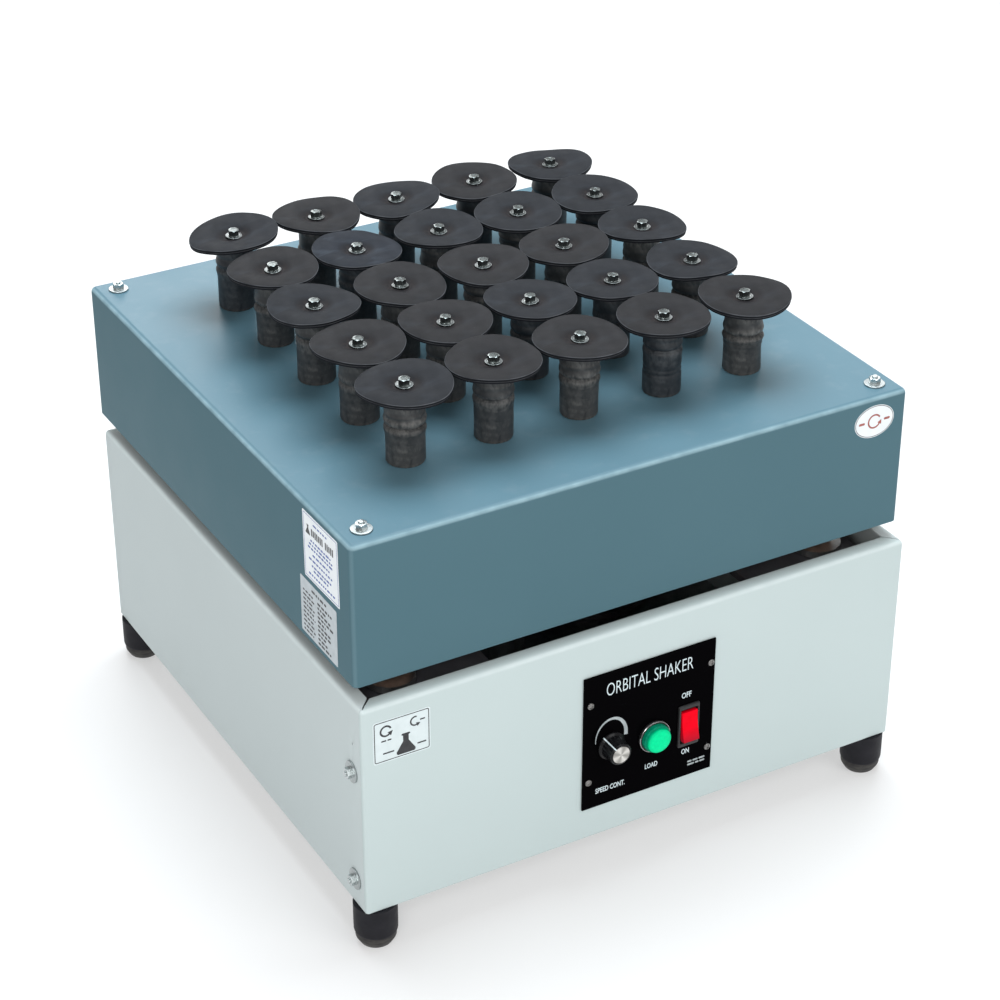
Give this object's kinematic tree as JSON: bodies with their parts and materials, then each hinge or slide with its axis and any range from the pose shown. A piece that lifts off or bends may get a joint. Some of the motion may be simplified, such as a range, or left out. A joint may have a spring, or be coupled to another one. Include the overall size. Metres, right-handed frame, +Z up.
{
  "type": "platform orbital shaker",
  "caption": "Square orbital shaker: a blue tray platform with rubber flask posts circles on cranks above a grey base with knob, lamp and rocker switch.",
  "frame": {"origin": "on the bench surface under the feet, below the middle of the whole object's box at rest", "axes": "+Z up; the control panel faces -Y; +X is to the right of someone facing the panel"},
  "size_m": [0.5282, 0.549, 0.4526],
  "materials": {
    "platform_paint": "blue-grey powder coat, fine texture, soft sheen",
    "base_paint": "pale aqua-grey powder coat, satin",
    "frame_paint": "dark grey enamel",
    "column_primer": "brown oxide primer, matt",
    "cast_alloy": "cast and turned, dull",
    "zinc_plate": "bright zinc plate",
    "post_rubber": "matt black moulded rubber, scuffed and dusty",
    "foot_rubber": "black rubber, satin",
    "belt_rubber": "matt",
    "panel_black": "gloss black overlay with white graphics",
    "knob_black": "fluted black plastic with a turned aluminium cap",
    "bezel_chrome": "polished",
    "lens_green": "translucent green, gloss",
    "switch_black": "satin black",
    "rocker_red": "translucent red, gloss"
  },
  "bodies": {
    "base": {"front_panel": "base_paint", "right_panel": "base_paint", "rear_panel": "base_paint", "left_panel": "base_paint", "base_plate": "zinc_plate", "foot_front_left": "foot_rubber", "foot_front_right": "foot_rubber", "foot_rear_left": "foot_rubber", "foot_rear_right": "foot_rubber", "support_frame": "frame_paint", "main_bearing_housing": "cast_alloy", "motor": "frame_paint", "drive_belt": "belt_rubber", "control_plate": "panel_black", "speed_control": "cast_alloy", "lamp_bezel": "bezel_chrome", "lamp_lens": "lens_green", "rocker_frame": "switch_black", "mains_inlet": "switch_black"},
    "crank": {"main_crank": "zinc_plate", "driven_pulley": "cast_alloy"},
    "platform": {"platform_cover": "platform_paint", "platform_frame": "frame_paint", "platform_hub": "cast_alloy", "platform_column_front_left": "column_primer", "platform_column_front_right": "column_primer", "platform_column_rear_left": "column_primer", "platform_column_rear_right": "column_primer", "flask_post_1_1": "post_rubber", "flask_post_1_2": "post_rubber", "flask_post_1_3": "post_rubber", "flask_post_1_4": "post_rubber", "flask_post_1_5": "post_rubber", "flask_post_2_1": "post_rubber", "flask_post_2_2": "post_rubber", "flask_post_2_3": "post_rubber", "flask_post_2_4": "post_rubber", "flask_post_2_5": "post_rubber", "flask_post_3_1": "post_rubber", "flask_post_3_2": "post_rubber", "flask_post_3_3": "post_rubber", "flask_post_3_4": "post_rubber", "flask_post_3_5": "post_rubber", "flask_post_4_1": "post_rubber", "flask_post_4_2": "post_rubber", "flask_post_4_3": "post_rubber", "flask_post_4_4": "post_rubber", "flask_post_4_5": "post_rubber", "flask_post_5_1": "post_rubber", "flask_post_5_2": "post_rubber", "flask_post_5_3": "post_rubber", "flask_post_5_4": "post_rubber", "flask_post_5_5": "post_rubber"},
    "motor_rotor": {"motor_pulley": "cast_alloy"},
    "corner_crank_front_left": {"corner_crank_front_left": "zinc_plate"},
    "corner_crank_front_right": {"corner_crank_front_right": "zinc_plate"},
    "corner_crank_rear_left": {"corner_crank_rear_left": "zinc_plate"},
    "corner_crank_rear_right": {"corner_crank_rear_right": "zinc_plate"},
    "knob": {"speed_knob": "knob_black"},
    "rocker": {"power_rocker": "rocker_red"}
  },
  "joints": [
    {"name": "crank_spin", "type": "hinge", "parent": "base", "child": "crank", "pos_m": [0, 0.00455, 0.205], "axis": [0, 0, 1], "continuous": true},
    {"name": "platform_swivel", "type": "hinge", "parent": "crank", "child": "platform", "pos_m": [0, 0.01455, 0.255], "axis": [0, 0, 1], "continuous": true},
    {"name": "motor_spin", "type": "hinge", "parent": "base", "child": "motor_rotor", "pos_m": [0.14954, 0.07428, 0.171], "axis": [0, 0, 1], "continuous": true},
    {"name": "corner_spin_front_left", "type": "hinge", "parent": "base", "child": "corner_crank_front_left", "pos_m": [-0.208, -0.20345, 0.2225], "axis": [0, 0, 1], "continuous": true},
    {"name": "corner_spin_front_right", "type": "hinge", "parent": "base", "child": "corner_crank_front_right", "pos_m": [0.208, -0.20345, 0.2225], "axis": [0, 0, 1], "continuous": true},
    {"name": "corner_spin_rear_left", "type": "hinge", "parent": "base", "child": "corner_crank_rear_left", "pos_m": [-0.208, 0.21255, 0.2225], "axis": [0, 0, 1], "continuous": true},
    {"name": "corner_spin_rear_right", "type": "hinge", "parent": "base", "child": "corner_crank_rear_right", "pos_m": [0.208, 0.21255, 0.2225], "axis": [0, 0, 1], "continuous": true},
    {"name": "knob_turn", "type": "hinge", "parent": "base", "child": "knob", "pos_m": [-0.032, -0.25855, 0.1303], "axis": [0, 1, 0], "range_deg": [-105, 165]},
    {"name": "rocker_tip", "type": "hinge", "parent": "base", "child": "rocker", "pos_m": [0.044, -0.25925, 0.1253], "axis": [1, 0, 0], "range_deg": [0, 18]}
  ],
  "couplings": [
    {"joint": "platform_swivel", "follows": "crank_spin", "ratio": -1},
    {"joint": "motor_spin", "follows": "crank_spin", "ratio": 4},
    {"joint": "corner_spin_front_left", "follows": "crank_spin", "ratio": 1},
    {"joint": "corner_spin_front_right", "follows": "crank_spin", "ratio": 1},
    {"joint": "corner_spin_rear_left", "follows": "crank_spin", "ratio": 1},
    {"joint": "corner_spin_rear_right", "follows": "crank_spin", "ratio": 1}
  ]
}
